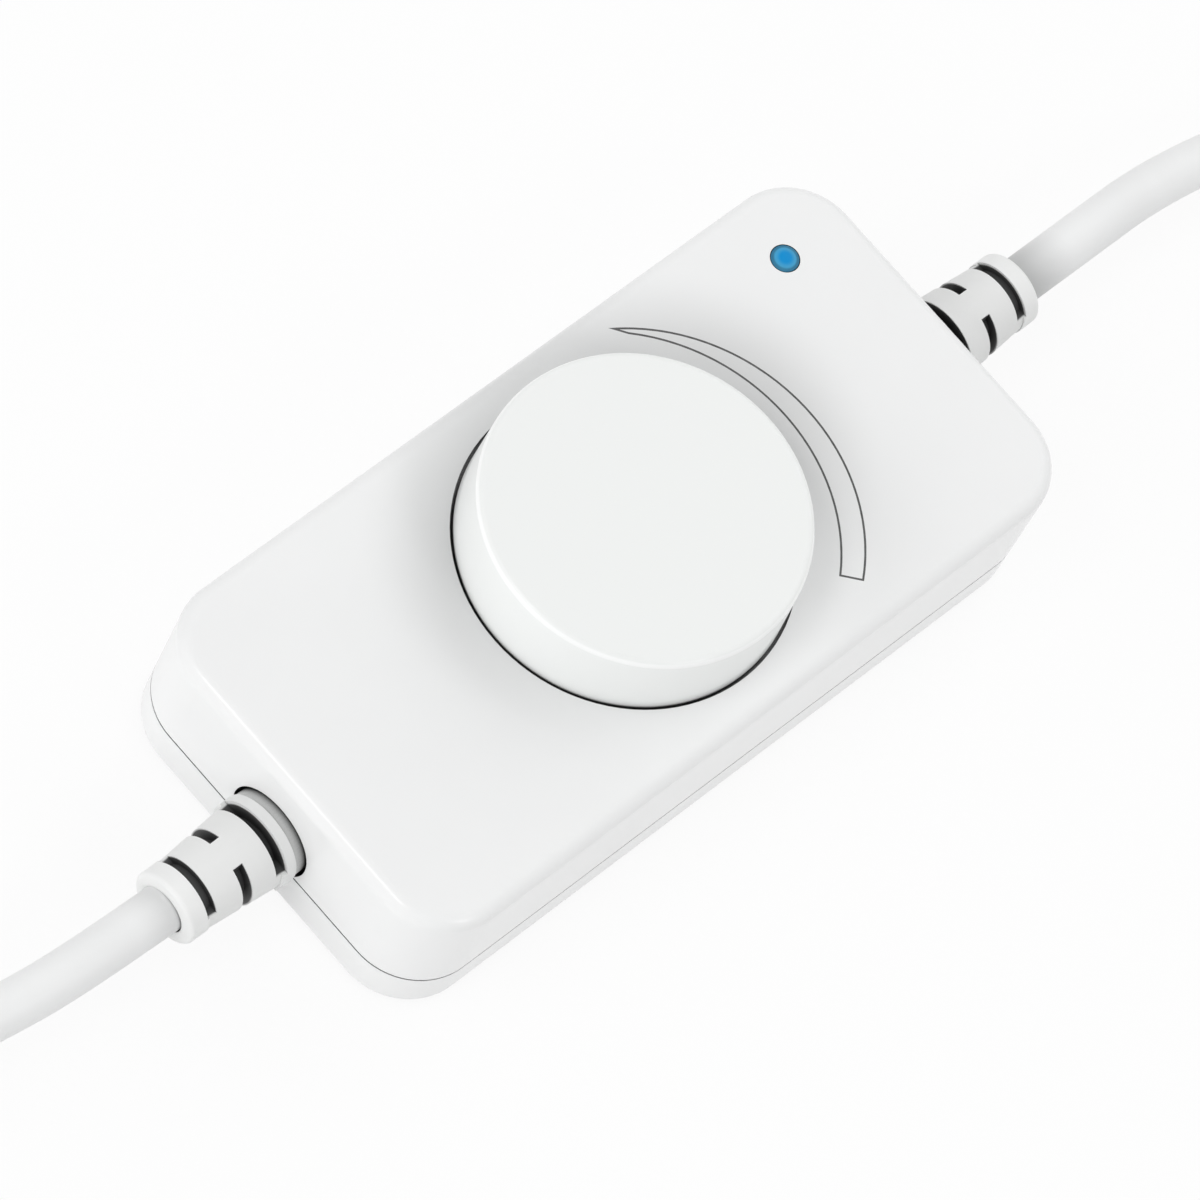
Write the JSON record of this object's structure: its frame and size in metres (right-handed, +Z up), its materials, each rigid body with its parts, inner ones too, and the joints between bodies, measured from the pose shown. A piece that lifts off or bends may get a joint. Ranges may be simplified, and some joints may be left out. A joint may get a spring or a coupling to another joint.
{
  "type": "led strip dimmer",
  "caption": "In-line rotary dimmer for LED strips: flat white case with a large round knob, a blue lamp and a short cord with a barrel connector at each end.",
  "frame": {"origin": "on the resting face, under the knob's axis, at the middle of the case", "axes": "+X along the case to the output cord, +Y to the side with the indicator lamp, +Z up along the knob's axis"},
  "size_m": [0.3821, 0.0434, 0.0273],
  "materials": {
    "white_shell": "satin moulded",
    "knob_white": "satin moulded",
    "relief_white": "soft moulded",
    "cord_white": "soft extruded",
    "mark_grey": "printed ink in a fine line",
    "screw_steel": "zinc plated",
    "tinned_metal": "tinned",
    "plated_steel": "nickel plated",
    "shaft_aluminium": "turned",
    "bushing_brass": "turned",
    "board_green": "solder mask over glass cloth",
    "base_brown": "moulded resin",
    "black_plastic": "moulded",
    "sleeve_black": "shrunk sleeve over an aluminium can",
    "ceramic_tan": "fired",
    "ceramic_white": "fired",
    "lamp_blue": "diffused",
    "lead_red": "extruded",
    "lead_black": "extruded",
    "connector_metal": "nickel plated"
  },
  "bodies": {
    "housing": {"top_shell": "white_shell", "bottom_shell": "white_shell", "case_screws": "screw_steel", "brightness_mark": "mark_grey", "pot_base": "base_brown", "pot_track": "black_plastic", "pot_cover": "plated_steel", "pot_bushing": "bushing_brass", "pot_pins": "tinned_metal", "circuit_board": "board_green", "electrolytic_capacitor": "sleeve_black", "capacitor_leads": "tinned_metal", "control_chip": "black_plastic", "control_chip_leads": "tinned_metal", "power_transistor": "black_plastic", "transistor_tab": "tinned_metal", "transistor_leads": "tinned_metal", "diode": "black_plastic", "diode_leads": "tinned_metal", "fuse": "ceramic_white", "fuse_caps": "tinned_metal", "resistors": "black_plastic", "small_capacitors": "ceramic_tan", "solder_ends": "tinned_metal", "indicator_lamp": "lamp_blue", "indicator_lamp_leads": "tinned_metal", "input_strain_relief": "relief_white", "output_strain_relief": "relief_white", "input_cord": "cord_white", "output_cord": "cord_white", "input_positive_lead": "lead_red", "input_negative_lead": "lead_black", "output_positive_lead": "lead_red", "output_negative_lead": "lead_black", "input_socket_body": "relief_white", "input_socket_sleeve": "connector_metal", "input_socket_pin": "connector_metal", "output_plug_grip": "relief_white", "output_plug_barrel": "connector_metal", "output_plug_insulator": "black_plastic", "output_plug_contact": "connector_metal"},
    "knob": {"knob": "knob_white", "pot_rotor_shaft": "shaft_aluminium", "pot_wiper": "bushing_brass"}
  },
  "joints": [
    {"name": "knob_turn", "type": "hinge", "parent": "housing", "child": "knob", "pos_m": [0, 0, 0.0175], "axis": [0, 0, 1], "range_deg": [-150, 150]}
  ]
}
